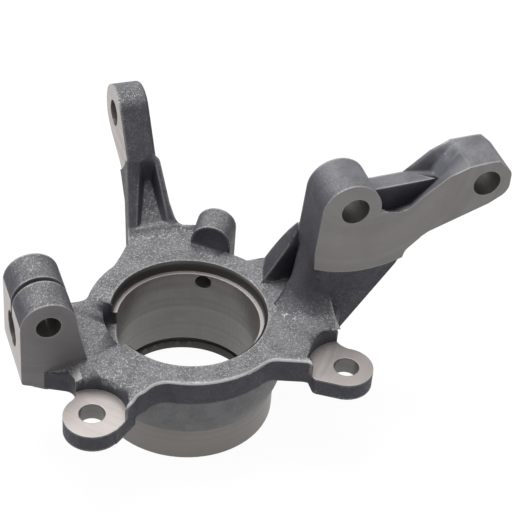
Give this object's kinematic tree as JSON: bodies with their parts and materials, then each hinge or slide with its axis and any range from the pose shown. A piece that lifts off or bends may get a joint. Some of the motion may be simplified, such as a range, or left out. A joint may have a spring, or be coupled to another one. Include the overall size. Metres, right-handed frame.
{
  "type": "steering knuckle",
  "caption": "Cast iron steering knuckle with a bored hub, a strut flange, a tapered steering arm, a split ball-joint clamp and caliper ears.",
  "frame": {"origin": "the middle of the bearing seat, on the hub axis", "axes": "+Z along the hub axis towards the car's centre, +X up the car towards the strut flange, +Y along the car towards the steering arm"},
  "size_m": [0.2481, 0.1959, 0.1369],
  "materials": {
    "casting": "rough sand casting with bright machined faces and bores"
  },
  "bodies": {
    "root": {"knuckle": "casting"}
  },
  "joints": []
}
